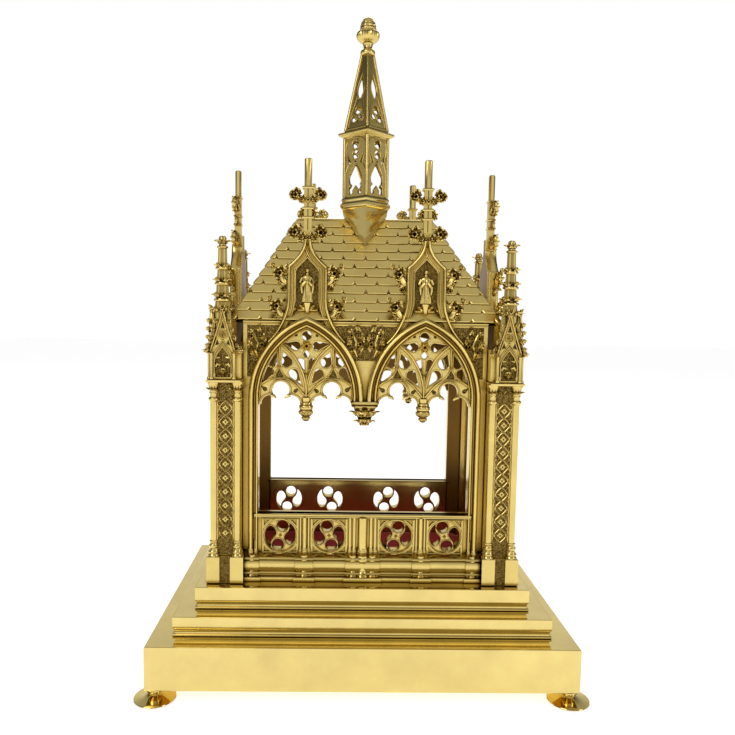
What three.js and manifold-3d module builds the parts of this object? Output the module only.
// A brass reliquary in the shape of a small Gothic chapel, on a stepped base with four feet.
// Millimetres, +Z up, origin on the ground under the middle of the feet, front towards -Y.
// Touching pieces keep a gap of 0.3 mm.

import * as THREE from "three";
import { mergeVertices } from "three/addons/utils/BufferGeometryUtils.js";
import Module from "manifold-3d";

// ---------------------------------------------------------------- driving dimensions

const GAP = 0.3;

const FOOT = { radius: 17.5, height: 9, collar: 7, neck: 4.6, inset: 7.3 };
const SLAB = { halfX: 180, halfY: 125, top: 46.7, sheet: 3, flange: 28 };
const LOWER_STEP = { halfX: 160.8, halfY: 106.1, top: 63.8 };
const UPPER_STEP = { halfX: 144.9, halfY: 90, top: 83.2 };
const COVE = { depth: 1.6, lip: 1.5, height: 7 }; // under the fascia of each step

// Corner buttresses: square plinth, three colonnettes each, gablets and a spirelet.
const BUTTRESS = { x: 120.6, y: 66.1, half: 16, coreOut: 11.2, coreIn: 13 };
const PLINTH_TOP = 107.7;
const COLONNETTE = { offset: 10.2, radius: 3.2, top: 260.5 };
const ABACUS_TOP = 263.4;
const GABLET = { foot: 284, tip: 322, half: 11.5, in: 12.4, out: 15.2, shift: 1.6 };
const PINNACLE_TOP = 384;
const PINNACLE_SHIFT = 3.6; // the spirelet stands towards the outer corner

// Walls: a bay is one pointed arch with its gable.
const BAY_HALF = 51.8;
const WALL = { frontY: 61, sideX: 119.5, inside: -5, face: 2.5, top: 313.3 };
const SILL = 142.2;
const ARCH = { spring: 246, offset: 25.5, outer: 75.5, middle: 71.5, inner: 67, steps: 4 };
const POST_FOOT = 240; // where the two front arches meet, over the hanging corbel
const TRACERY = { back: -1, front: 4 };
const FOIL = { sub: 22.4, sideOffset: 9, sideZ: 239.5, sideR: 8.3, topZ: 252.3, topR: 7.6 };
const PANEL = { offset: 21.8, z: 121.8, ring: 13.4, face: 3.5, front: 5.6 };
const GABLE = { half: 17.8, shoulder: 360, hood: 381, back: -4.5, front: 3.6, axis: 0.8 };
const NICHE = { half: 9.8, foot: 319, shoulder: 357, tip: 367.5, depth: 4.5 };
const PIN_TOP = 453;

// Roof: hipped, in rows of shingles.
const ROOF = { eave: 313.8, ridge: 408.5, halfX: 118, halfY: 66, ridgeHalf: 64, sheet: 2.4 };
const SHINGLE_ROWS = 12;
const SHINGLE_PROUD = 1.1;

// Flèche: square in plan, set cornerwise on the ridge. Radii are half diagonals.
const SOCKET = { foot: 374, footR: 20, top: 418.5, topR: 23 };
const BASE_MOULDING_TOP = 429;
const LANTERN = { r: 20.5, top: 484, wall: 2.2 };
const CORNICE = { r: 26.5, top: 491 };
const SPIRE = { footR: 20, top: 561, topR: 5.5, wall: 2 };
const TIP = 595.5;

const FLOOR = { top: 87, halfX: 113.8, halfY: 55.2 };

// ---------------------------------------------------------------- solids

const wasm = await Module();
wasm.setup();

// A closed geometry as a solid that can be joined and cut.
function solid(geometry) {
  const bare = geometry.index ? geometry.toNonIndexed() : geometry.clone();
  bare.deleteAttribute("normal");
  bare.deleteAttribute("uv");
  const merged = mergeVertices(bare, 1e-4);
  return new wasm.Manifold(
    new wasm.Mesh({
      numProp: 3,
      vertProperties: merged.attributes.position.array,
      triVerts: new Uint32Array(merged.index.array),
    }),
  );
}

const join = (solids) => solids.reduce((whole, next) => whole.add(next));
const cut = (whole, solids) => solids.reduce((rest, next) => rest.subtract(next), whole);

// A box from its lowest to its highest corner.
function box(x0, x1, y0, y1, z0, z1) {
  const g = new THREE.BoxGeometry(x1 - x0, y1 - y0, z1 - z0);
  g.translate((x0 + x1) / 2, (y0 + y1) / 2, (z0 + z1) / 2);
  return solid(g);
}

// A solid of revolution about a vertical axis, from [radius, z] pairs given from the bottom up.
// Four segments make a square set cornerwise.
function turned(profile, segments, x = 0, y = 0, phase = 0) {
  const points = profile.map(([r, z]) => new THREE.Vector2(r, z));
  const g = new THREE.LatheGeometry(points, segments, phase);
  g.rotateX(Math.PI / 2);
  g.translate(x, y, 0);
  return solid(g);
}

// An outline in the plane of a wall, raised from one height over the wall's middle plane to
// another. Outward is -Y.
function relief(shape, back, front) {
  const g = new THREE.ExtrudeGeometry(shape, {
    depth: front - back,
    bevelEnabled: false,
    curveSegments: 3,
  });
  g.rotateX(Math.PI / 2);
  g.translate(0, -back, 0);
  return solid(g);
}

const wallBox = (u0, u1, back, front, z0, z1) => box(u0, u1, -front, -back, z0, z1);

const outline = (points) => new THREE.Shape(points.map(([u, z]) => new THREE.Vector2(u, z)));
const mirrored = (points) => points.map(([u, z]) => [-u, z]).reverse();

// Points on an arc, both ends included. Angles in radians.
function arc(u, z, r, from, to, steps) {
  return Array.from({ length: steps + 1 }, (_, i) => {
    const a = from + ((to - from) * i) / steps;
    return [u + r * Math.cos(a), z + r * Math.sin(a)];
  });
}

// Rectangular rings stacked into a solid: [z, half width, half depth], from the bottom up.
function stack(levels) {
  const corners = levels.flatMap(([z, hx, hy]) => [
    [-hx, -hy, z],
    [hx, -hy, z],
    [hx, hy, z],
    [-hx, hy, z],
  ]);
  const faces = [[0, 2, 1], [0, 3, 2]];
  for (let level = 0; level < levels.length - 1; level++) {
    for (let side = 0; side < 4; side++) {
      const a = level * 4 + side;
      const b = level * 4 + ((side + 1) % 4);
      faces.push([a, b, b + 4], [a, b + 4, a + 4]);
    }
  }
  const last = (levels.length - 1) * 4;
  faces.push([last, last + 1, last + 2], [last, last + 2, last + 3]);
  const g = new THREE.BufferGeometry();
  g.setAttribute("position", new THREE.Float32BufferAttribute(corners.flat(), 3));
  g.setIndex(faces.flat());
  return solid(g);
}

// ---------------------------------------------------------------- feet, slab and steps

function foot() {
  const { radius, height, collar, neck } = FOOT;
  const profile = [
    [0, 0],
    [radius, 0],
    [radius, 0.9],
    [radius * 0.6, 2.4],
    [neck, 3.6],
    [neck, 5.6],
    [collar, 6.6],
    [collar, height - GAP],
    [0, height - GAP],
  ];
  return turned(profile, 12);
}

function slab() {
  const { halfX, halfY, top, sheet, flange } = SLAB;
  const inX = halfX - sheet;
  const inY = halfY - sheet;
  const bottom = FOOT.height;
  const mouthX = halfX - flange;
  const mouthY = halfY - flange;
  return cut(box(-halfX, halfX, -halfY, halfY, bottom, top), [
    box(-inX, inX, -inY, inY, bottom + sheet, top - sheet),
    box(-mouthX, mouthX, -mouthY, mouthY, bottom - 1, bottom + sheet + 1),
  ]);
}

// Lip, shallow cove and plain fascia, from the bottom up.
function step({ halfX, halfY, top }, below) {
  const foot = below + GAP;
  const levels = [
    [foot, 0],
    [foot + COVE.lip, 0],
    [foot + COVE.lip + 0.8, COVE.depth],
    [foot + COVE.lip + 3.6, COVE.depth * 0.9],
    [foot + COVE.height, 0.5],
    [foot + COVE.height + 1, 0],
    [top, 0],
  ];
  return stack(levels.map(([z, inset]) => [z, halfX - inset, halfY - inset]));
}

// ---------------------------------------------------------------- corner buttress

function colonnette(x, y) {
  const { radius: r, top } = COLONNETTE;
  const profile = [
    [0, PLINTH_TOP - 1],
    [5.6, PLINTH_TOP - 1],
    [4.4, PLINTH_TOP + 10],
    [r, PLINTH_TOP + 13.5],
    [r, top - 16],
    [r + 2.4, top - 2],
    [r + 2.4, top + 1],
    [0, top + 1],
  ];
  return turned(profile, 6, x, y);
}

// A gable-shaped prism through the buttress, so that it shows on two opposite faces, and
// another square to it.
function gablets() {
  const { foot, tip, half, out, shift } = GABLET;
  const shape = outline([
    [-half, foot],
    [half, foot],
    [half - 1, foot + 5],
    [1.2, tip],
    [-1.2, tip],
    [1 - half, foot + 5],
  ]);
  const along = relief(shape, -GABLET.in, out).translate([-shift, 0, 0]);
  const across = relief(shape, -out, GABLET.in).rotate([0, 0, 90]).translate([0, -shift, 0]);
  return join([along, across]);
}

function spirelet() {
  const top = PINNACLE_TOP;
  const profile = [
    [0, top - 94],
    [9.5, top - 90],
    [7.4, top - 57],
    [10, top - 53],
    [6.4, top - 47],
    [6.2, top - 43],
    [9.4, top - 39],
    [5.4, top - 33],
    [5.3, top - 30],
    [8.8, top - 26],
    [4.1, top - 21],
    [3.8, top - 9],
    [8, top - 6.5],
    [0, top],
  ];
  return turned(profile, 4, -PINNACLE_SHIFT, -PINNACLE_SHIFT, Math.PI / 4);
}

// A leaf crocket that stands out at the feet of two gablets.
function cornerLeaf(x, y) {
  const leaf = [
    [0, 281],
    [4.2, 288],
    [0, 294],
  ];
  return turned(leaf, 4, x, y);
}

// Built for the front left corner: outward is -X and -Y.
function buttress() {
  const { half, coreOut, coreIn } = BUTTRESS;
  const { offset } = COLONNETTE;
  const leafOut = 13.2;
  const leafIn = 10.6;
  const bottom = UPPER_STEP.top + GAP;
  const strip = half - 11.5;
  const plinth = cut(box(-half, half, -half, half, bottom, PLINTH_TOP), [
    box(-strip, strip, -half - 1, -half + 1.5, bottom - 1, PLINTH_TOP + 1),
    box(-half - 1, -half + 1.5, -strip, strip, bottom - 1, PLINTH_TOP + 1),
  ]);
  return join([
    plinth,
    box(-coreOut, coreIn, -coreOut, coreIn, PLINTH_TOP - 1, COLONNETTE.top + 1),
    box(-half, coreIn, -half, coreIn, COLONNETTE.top, ABACUS_TOP),
    box(-12, coreIn, -12, coreIn, ABACUS_TOP - 1, GABLET.foot + 6),
    colonnette(-offset, -offset),
    colonnette(offset, -offset),
    colonnette(-offset, offset),
    gablets(),
    cornerLeaf(-leafOut, -leafOut),
    cornerLeaf(leafIn, -leafOut),
    cornerLeaf(-leafOut, leafIn),
    spirelet(),
  ]);
}

// ---------------------------------------------------------------- arches and tracery

// A pointed arch of two arcs, from the left springing over the point to the right.
function archPoints(radius, centre = 0) {
  const { spring, offset } = ARCH;
  const tip = Math.acos(-offset / radius);
  const left = arc(centre + offset, spring, radius, Math.PI, tip, ARCH.steps);
  const right = arc(centre - offset, spring, radius, Math.PI - tip, 0, ARCH.steps);
  return [...left, ...right.slice(1)];
}

// One moulded ring of an arch with its two legs.
function archRing(centre, outer, inner, front, leftFoot, rightFoot) {
  const outside = archPoints(outer, centre);
  const inside = archPoints(inner, centre).reverse();
  const ends = [outside[0], outside.at(-1), inside[0], inside.at(-1)];
  const shape = outline([
    [ends[0][0], leftFoot],
    ...outside,
    [ends[1][0], rightFoot],
    [ends[2][0], rightFoot],
    ...inside,
    [ends[3][0], leftFoot],
  ]);
  return relief(shape, 0, front);
}

// The trefoil head of one light, from right to left, open below.
function trefoil(centre) {
  const { sideOffset, sideZ, sideR, topZ, topR } = FOIL;
  const du = sideOffset;
  const dz = topZ - sideZ;
  const distance = Math.hypot(du, dz);
  const along = (distance ** 2 + sideR ** 2 - topR ** 2) / (2 * distance);
  const across = Math.sqrt(sideR ** 2 - along ** 2);
  const cuspU = centre + du - (along * du) / distance + (across * dz) / distance;
  const cuspZ = sideZ + (along * dz) / distance + (across * du) / distance;
  const sideEnd = Math.atan2(cuspZ - sideZ, cuspU - centre - du);
  const topStart = Math.atan2(cuspZ - topZ, cuspU - centre);
  return [
    ...arc(centre + du, sideZ, sideR, 0, sideEnd, 3),
    ...arc(centre, topZ, topR, topStart, Math.PI - topStart, 6).slice(1, -1),
    ...arc(centre - du, sideZ, sideR, Math.PI - sideEnd, Math.PI, 3),
  ];
}

// A pointed drop. The lean turns its point away from straight up, in radians, clockwise.
function drop(u, z, length, width, lean) {
  const r = width / 2;
  const round = arc(0, r - length / 2, r, Math.PI * 0.9, Math.PI * 2.1, 3);
  const local = [...round, [0, length / 2]];
  return local.map(([x, y]) => [
    u + x * Math.cos(lean) + y * Math.sin(lean),
    z - x * Math.sin(lean) + y * Math.cos(lean),
  ]);
}

// The pierced eyes of the tracery: pairs on both sides, then those on the middle line.
function eyes() {
  const pairs = [
    drop(35.6, 265.6, 15.5, 9, 2.6),
    drop(29.7, 279.3, 13.5, 8.8, -0.38),
    drop(18, 279.2, 13.5, 9.6, 0.36),
    drop(8.9, 264, 16, 8.6, -2.54),
    drop(12.6, 292.2, 14.6, 7.8, 1.38),
    drop(3.7, 275.2, 12, 5.6, -2.78),
  ];
  const middle = [
    arc(0, 300.4, 4.1, 0, Math.PI * 2, 6).slice(0, -1),
    drop(0, 284.7, 6.2, 5.2, 0),
  ];
  return [...pairs, ...pairs.map(mirrored), ...middle];
}

// The tracery plate of one bay, hung in its arch.
function tracery(centre) {
  const { sub, sideZ } = FOIL;
  const head = archPoints(ARCH.inner + 0.8);
  const shape = outline([
    [head[0][0], sideZ],
    ...head,
    [head.at(-1)[0], sideZ],
    ...trefoil(sub),
    ...trefoil(-sub),
  ]);
  const { back, front } = TRACERY;
  const pierced = eyes().map((eye) => relief(outline(eye), back - 1, front + 1));
  return cut(relief(shape, back, front), pierced).translate([centre, 0, 0]);
}

// The knob under the middle of a bay's tracery.
function pendant(centre) {
  const profile = [
    [0, 224.5],
    [3.2, 227.5],
    [6.4, 233],
    [5.4, 241.5],
    [0, 243],
  ];
  return turned(profile, 6, centre, -1.5);
}

// The leafy corbel that hangs where the two front arches meet.
function corbel() {
  const profile = [
    [0, 221],
    [5, 224.5],
    [11.8, 238],
    [11.8, 243.5],
    [0, 243.5],
  ];
  const whole = turned(profile, 8, 0, -1, Math.PI / 8);
  return whole.intersect(box(-12, 12, -10, 5, 220, 244));
}

// ---------------------------------------------------------------- parapet and plinth

// Two round holes and two commas that whirl round the middle of a panel.
function whirl(u, z, hand) {
  const parts = [
    arc(u + hand * 1.8, z + 8.2, 5.2, 0, Math.PI * 2, 6).slice(0, -1),
    arc(u - hand * 1.8, z - 8.2, 5.2, 0, Math.PI * 2, 6).slice(0, -1),
    drop(u - 8.6, z + hand * 0.4, 15, 8.8, hand > 0 ? 2.9 : 0.25),
    drop(u + 8.6, z - hand * 0.4, 15, 8.8, hand > 0 ? -0.25 : -2.9),
  ];
  return parts.map((points) => relief(outline(points), WALL.inside - 1, PANEL.face + 1));
}

// The round sunk field of a panel.
function sunkRound(u) {
  const { ring, z, face, front } = PANEL;
  const shape = outline(arc(u, z, ring, 0, Math.PI * 2, 10).slice(0, -1));
  return relief(shape, face, front + 1);
}

// Rolls beside and between the panels of a bay.
function bayPosts(centre) {
  const foot = PLINTH_TOP - 3.5;
  const top = SILL - 2.5;
  return [
    wallBox(centre - 6, centre + 6, 2, 6.8, foot, top),
    wallBox(centre - 1.6, centre + 1.6, 4, 8.6, foot, top),
  ];
}

function middlePost() {
  const foot = PLINTH_TOP - 3.5;
  return [
    wallBox(-12.5, 12.5, 2, 6.8, foot, SILL - 2.5),
    wallBox(-6, 6, 4, 9, foot, SILL - 1.5),
  ];
}

function wallPlinth(half) {
  const bottom = UPPER_STEP.top + GAP;
  const top = PLINTH_TOP - 3;
  return [
    wallBox(-half, half, WALL.inside, 14.5, bottom, bottom + 4),
    wallBox(-half, half, WALL.inside, 12, bottom + 3, top),
    wallBox(-half, half, WALL.inside, 13.2, top - 2.2, top),
  ];
}

// ---------------------------------------------------------------- gables

// The concave-sided gable over an arch, with its stem.
function gableShape() {
  const { half, shoulder, hood } = GABLE;
  const side = new THREE.Path();
  side.moveTo(34.5, 296);
  side.quadraticCurveTo(20.8, 310, half, 328);
  side.lineTo(half, shoulder);
  side.quadraticCurveTo(6.5, 366, 3.2, hood);
  const right = side.getPoints(3).map((p) => [p.x, p.y]);
  return outline([...right, [3, 402], [-3, 402], ...mirrored(right), [0, 310]]);
}

function nicheShape() {
  const { half, foot, shoulder, tip } = NICHE;
  const right = [
    [12.8, foot],
    [half, foot + 11],
    [half, shoulder],
  ];
  return outline([...right, [0, tip], ...mirrored(right)]);
}

// A small robed figure on a leafy bracket.
function figure() {
  const profile = [
    [0, 321],
    [6, 330],
    [4.2, 333],
    [5.6, 348],
    [1.9, 354],
    [2.5, 357],
    [0, 360.5],
  ];
  return turned(profile, 6).scale([1, 0.6, 1]).translate([0, NICHE.depth - GABLE.front - 1, 0]);
}

// A curled leaf on the side of a gable; side is 1 or -1.
function crocket(root, z, side) {
  const leaf = [
    [root - 1.5, z - 6],
    [root + 8, z - 5.5],
    [root + 13, z + 1],
    [root + 8.5, z + 6.5],
    [root - 1.5, z + 4],
  ];
  return relief(outline(side > 0 ? leaf : mirrored(leaf)), GABLE.front - 0.8, GABLE.front + 5);
}

// Leaves that spread from the stem to both sides, in a flat cross.
function cluster(z, height, reach) {
  const profile = [
    [0, z],
    [3, z],
    [reach, z + height * 0.4],
    [reach * 0.92, z + height],
    [0, z + height * 0.8],
  ];
  return turned(profile, 4).scale([1, 0.3, 1]).translate([0, -GABLE.axis, 0]);
}

function gable(centre) {
  const { half, back, front, axis } = GABLE;
  const body = relief(gableShape(), back, front);
  const niche = relief(nicheShape(), front - NICHE.depth, front + 1);
  const pin = 3.1;
  const parts = [
    cut(body, [niche]),
    figure(),
    crocket(half, 326, 1),
    crocket(half, 326, -1),
    crocket(half - 1, 355, 1),
    crocket(half - 1, 355, -1),
    cluster(383, 14, 18),
    wallBox(-pin, pin, axis - pin, axis + pin, 398, PIN_TOP),
    cluster(402, 8.5, 9.5),
    cluster(415, 13, 17.2),
  ];
  return join(parts).translate([centre, 0, 0]);
}

// Low knots of leaves on the wall between the gables.
function spandrelLeaves(u) {
  const knot = [
    [0, 288],
    [7, 291],
    [9.5, 299],
    [6.5, 306],
    [0, 308.5],
  ];
  return turned(knot, 6).scale([1, 0.42, 1]).translate([u, -WALL.face, 0]);
}

// ---------------------------------------------------------------- walls

// The hole of a wall: one opening from the sill, with an arch for each bay.
function openingShape(bays) {
  const heads = bays.map((centre) => archPoints(ARCH.inner, centre));
  const points = heads.flatMap((head, i) => {
    const from = i === 0 ? SILL : POST_FOOT;
    const to = i === bays.length - 1 ? SILL : POST_FOOT;
    return [[head[0][0], from], ...head, [head.at(-1)[0], to]];
  });
  return outline(points);
}

function wall(bays, half, plinthHalf, leafPlaces) {
  const { inside, face, top } = WALL;
  const bottom = UPPER_STEP.top + GAP;
  const first = bays[0];
  const last = bays.at(-1);
  const legFoot = PLINTH_TOP - 3.5;
  const plate = cut(
    join([
      wallBox(-half, half, inside, face, PLINTH_TOP + GAP, top),
      wallBox(-plinthHalf, plinthHalf, inside, face, bottom, PLINTH_TOP + 1),
    ]),
    [relief(openingShape(bays), inside - 1, face + 1)],
  );
  const parapetEnd = BAY_HALF - 10;
  const parapet = [
    wallBox(first - parapetEnd, last + parapetEnd, inside, PANEL.front, PLINTH_TOP - 4, SILL),
    wallBox(first - parapetEnd, last + parapetEnd, inside, 7, SILL - 3.2, SILL),
  ];
  const rings = bays.map((c) => {
    const left = c === first ? legFoot : POST_FOOT;
    const right = c === last ? legFoot : POST_FOOT;
    return archRing(c, ARCH.outer, ARCH.middle, 9, left, right);
  });
  const panels = bays.flatMap((c) => [c - PANEL.offset, c + PANEL.offset]);
  const whole = join([
    plate,
    ...parapet,
    ...wallPlinth(plinthHalf),
    wallBox(-half, half, inside, face + 2.1, top - 3.6, top),
    ...rings,
    ...bays.map(tracery),
    ...bays.map(pendant),
    ...bays.flatMap(bayPosts),
    ...(bays.length > 1 ? [...middlePost(), corbel()] : []),
    ...bays.map(gable),
    ...leafPlaces.map(spandrelLeaves),
  ]);
  const whirls = panels.flatMap((u, i) => whirl(u, PANEL.z, i % 2 ? -1 : 1));
  return cut(whole, [...panels.map(sunkRound), ...whirls]);
}

function longWall() {
  const half = BUTTRESS.x - BUTTRESS.coreIn - GAP;
  const plinthHalf = BUTTRESS.x - BUTTRESS.half - GAP;
  const leaves = half - 12;
  return wall([-BAY_HALF, BAY_HALF], half, plinthHalf, [-leaves, 0, leaves]);
}

function shortWall() {
  const half = BUTTRESS.y - BUTTRESS.coreIn - GAP;
  const plinthHalf = BUTTRESS.y - BUTTRESS.half - GAP;
  const leaves = half - 10;
  return wall([0], half, plinthHalf, [-leaves, leaves]);
}

// ---------------------------------------------------------------- roof

const roofHalves = (z) => {
  const t = (z - ROOF.eave) / (ROOF.ridge - ROOF.eave);
  return [ROOF.halfX + (ROOF.ridgeHalf - ROOF.halfX) * t, ROOF.halfY * (1 - t)];
};

// The roof's outer form; each row of shingles stands proud at its lower edge.
function shingledForm() {
  const height = (ROOF.ridge - ROOF.eave) / SHINGLE_ROWS;
  const levels = [];
  for (let row = 0; row < SHINGLE_ROWS; row++) {
    const low = ROOF.eave + row * height;
    const [x0, y0] = roofHalves(low);
    const [x1, y1] = roofHalves(low + height);
    const ridgeEdge = Math.max(y1, 0.6);
    levels.push([low, x0 + SHINGLE_PROUD, y0 + SHINGLE_PROUD], [low + height, x1, ridgeEdge]);
  }
  return stack(levels);
}

// The roof is hollow, and cut away behind the gables and round the buttresses.
function roof() {
  const { sheet, eave, ridge, halfX, halfY, ridgeHalf } = ROOF;
  const inner = stack([
    [eave - 1, halfX - sheet * 2.2, halfY - sheet * 2.4],
    [ridge - sheet * 2.2, ridgeHalf - sheet, 0.5],
  ]);
  const clearance = GAP + 0.1;
  const gableHalf = 27;
  const behindFront = WALL.frontY + GABLE.back - clearance;
  const behindSide = WALL.sideX + GABLE.back - clearance;
  const cornerX = BUTTRESS.x - BUTTRESS.coreIn - clearance;
  const cornerY = BUTTRESS.y - BUTTRESS.coreIn - clearance;
  const low = eave - 1;
  const frontBay = box(BAY_HALF - gableHalf, BAY_HALF + gableHalf, behindFront, 90, low, 350);
  const corner = box(cornerX, 140, cornerY, 90, low, 380);
  const sideBay = box(behindSide, 140, -gableHalf, gableHalf, low, 350);
  const right = [frontBay, corner, sideBay];
  const back = [...right, ...right.map((piece) => piece.mirror([1, 0, 0]))];
  const front = back.map((piece) => piece.mirror([0, 1, 0]));
  return cut(shingledForm(), [inner, ...back, ...front]);
}

// ---------------------------------------------------------------- flèche

// The socket follows the two slopes of the roof.
function socket() {
  const { foot, footR, top, topR } = SOCKET;
  const profile = [
    [0, foot],
    [footR, foot],
    [topR - 1.5, top - 6],
    [topR - 1.5, top],
    [topR + 0.8, top + 1.5],
    [topR + 0.8, top + 5],
    [topR - 1.5, BASE_MOULDING_TOP],
    [0, BASE_MOULDING_TOP],
  ];
  const clearance = SHINGLE_PROUD + GAP + 0.4;
  const [x0, y0] = roofHalves(foot - 2);
  const saddle = stack([
    [foot - 2, x0, y0 + clearance],
    [ROOF.ridge + clearance, x0, 0.6],
  ]);
  return cut(turned(profile, 4), [saddle]);
}

// Cuts that pierce the four faces of a square tower set cornerwise.
function fourFaces(shapes, reach) {
  const through = shapes.map((shape) => relief(shape, -reach, reach));
  return [45, -45].flatMap((turn) => through.map((cutter) => cutter.rotate([0, 0, turn])));
}

// A light with a pointed head.
function lancet(low, high, half) {
  const right = [
    [half * 0.75, low],
    [half, low + (high - low) * 0.4],
    [half * 0.75, low + (high - low) * 0.75],
  ];
  return outline([...right, [0, high], ...mirrored(right)]);
}

// A foiled eye: each lobe is a blunt point between two cusps.
function foils(z, r, count, phase) {
  const points = [];
  for (let lobe = 0; lobe < count; lobe++) {
    const middle = phase + (lobe * 2 * Math.PI) / count;
    const spread = Math.PI / count;
    for (const [turn, reach] of [[0, 1.3], [1, 0.66]]) {
      const a = middle + turn * spread;
      points.push([r * reach * Math.cos(a), z + r * reach * Math.sin(a)]);
    }
  }
  return outline(points);
}

function lantern() {
  const { r, top, wall: thick } = LANTERN;
  const bottom = BASE_MOULDING_TOP + GAP;
  const inner = r - thick * Math.SQRT2;
  const body = turned([[0, bottom], [r, bottom], [r, top], [0, top]], 4);
  const hollow = turned([[0, bottom - 1], [inner, bottom - 1], [inner, top - 2], [0, top - 2]], 4);
  const cornice = turned(
    [
      [0, top - 1],
      [r, top - 1],
      [CORNICE.r, top + 2],
      [CORNICE.r, top + 3.6],
      [SPIRE.footR + 1, CORNICE.top],
      [0, CORNICE.top],
    ],
    4,
  );
  const shapes = [
    lancet(bottom + 2.5, 461, 5.2),
    foils(466.5, 4.6, 4, 0),
    foils(477, 3.4, 3, Math.PI / 2),
  ];
  return join([cut(body, [hollow, ...fourFaces(shapes, 30)]), cornice]);
}

function spire() {
  const { footR, top, topR, wall: thick } = SPIRE;
  const bottom = CORNICE.top + GAP;
  const body = turned([[0, bottom], [footR, bottom], [topR, top], [0, top]], 4);
  const inner = thick * Math.SQRT2;
  const hollow = turned(
    [
      [0, bottom - 1],
      [footR - inner, bottom - 1],
      [topR - inner + 1.2, top - 14],
      [0, top - 14],
    ],
    4,
  );
  const collar = turned(
    [
      [0, top - 1],
      [topR, top - 1],
      [7, top + 0.5],
      [7, top + 3.5],
      [4.6, top + 4.5],
      [4.6, top + 9.7],
      [0, top + 9.7],
    ],
    8,
  );
  const shapes = [foils(506.5, 5.7, 3, Math.PI / 2), lancet(520, 541, 2.8)];
  return join([cut(body, [hollow, ...fourFaces(shapes, 30)]), collar]);
}

function acorn() {
  const bottom = SPIRE.top + 9.7 + GAP;
  const profile = [
    [0, bottom],
    [5, bottom],
    [9.6, bottom + 3.4],
    [10.4, bottom + 7],
    [9, bottom + 9.6],
    [7.4, bottom + 10],
    [7, bottom + 16],
    [5.2, TIP - 3],
    [2.4, TIP - 0.6],
    [0, TIP],
  ];
  return turned(profile, 8);
}

// ---------------------------------------------------------------- floor

// A board that fills the chamber, notched round the buttress plinths.
function floorBoard() {
  const { halfX, halfY, top } = FLOOR;
  const bottom = UPPER_STEP.top + GAP;
  const notchX = BUTTRESS.x - BUTTRESS.half - GAP;
  const notchY = BUTTRESS.y - BUTTRESS.half - GAP;
  return join([
    box(-halfX, halfX, -notchY, notchY, bottom, top),
    box(-notchX, notchX, -halfY, halfY, bottom, top),
  ]);
}

// ---------------------------------------------------------------- scene graph

const BRASS = { color: 0xc9a54a, roughness: 0.2, metalness: 1 };
const VELVET = { color: 0x96101c, roughness: 0.9, metalness: 0 };

function mesh(name, shape, finish = BRASS) {
  const { vertProperties, triVerts } = shape.getMesh();
  const g = new THREE.BufferGeometry();
  g.setAttribute("position", new THREE.BufferAttribute(vertProperties, 3));
  g.setIndex(new THREE.BufferAttribute(triVerts, 1));
  g.computeVertexNormals();
  const made = new THREE.Mesh(g, new THREE.MeshStandardMaterial(finish));
  made.name = name;
  return made;
}

const reliquary = new THREE.Group();

const CORNERS = [
  { name: "front_left", x: -1, y: -1, turn: 0 },
  { name: "front_right", x: 1, y: -1, turn: Math.PI / 2 },
  { name: "back_right", x: 1, y: 1, turn: Math.PI },
  { name: "back_left", x: -1, y: 1, turn: -Math.PI / 2 },
];

for (const { name, x, y, turn } of CORNERS) {
  const piece = mesh("foot_" + name, foot());
  piece.position.set(x * (SLAB.halfX - FOOT.inset), y * (SLAB.halfY - FOOT.inset), 0);
  const tower = mesh("buttress_" + name, buttress());
  tower.position.set(x * BUTTRESS.x, y * BUTTRESS.y, 0);
  tower.rotation.z = turn;
  reliquary.add(piece, tower);
}

reliquary.add(
  mesh("base_slab", slab()),
  mesh("lower_step", step(LOWER_STEP, SLAB.top)),
  mesh("upper_step", step(UPPER_STEP, LOWER_STEP.top)),
);

const SIDES = [
  { name: "front", x: 0, y: -WALL.frontY, turn: 0, make: longWall },
  { name: "right", x: WALL.sideX, y: 0, turn: Math.PI / 2, make: shortWall },
  { name: "back", x: 0, y: WALL.frontY, turn: Math.PI, make: longWall },
  { name: "left", x: -WALL.sideX, y: 0, turn: -Math.PI / 2, make: shortWall },
];

for (const { name, x, y, turn, make } of SIDES) {
  const side = mesh("arcade_" + name, make());
  side.position.set(x, y, 0);
  side.rotation.z = turn;
  reliquary.add(side);
}

reliquary.add(
  mesh("roof", roof()),
  mesh("fleche_socket", socket()),
  mesh("fleche_lantern", lantern()),
  mesh("fleche_spire", spire()),
  mesh("fleche_acorn", acorn()),
  mesh("velvet_floor", floorBoard(), VELVET),
);

export default reliquary;
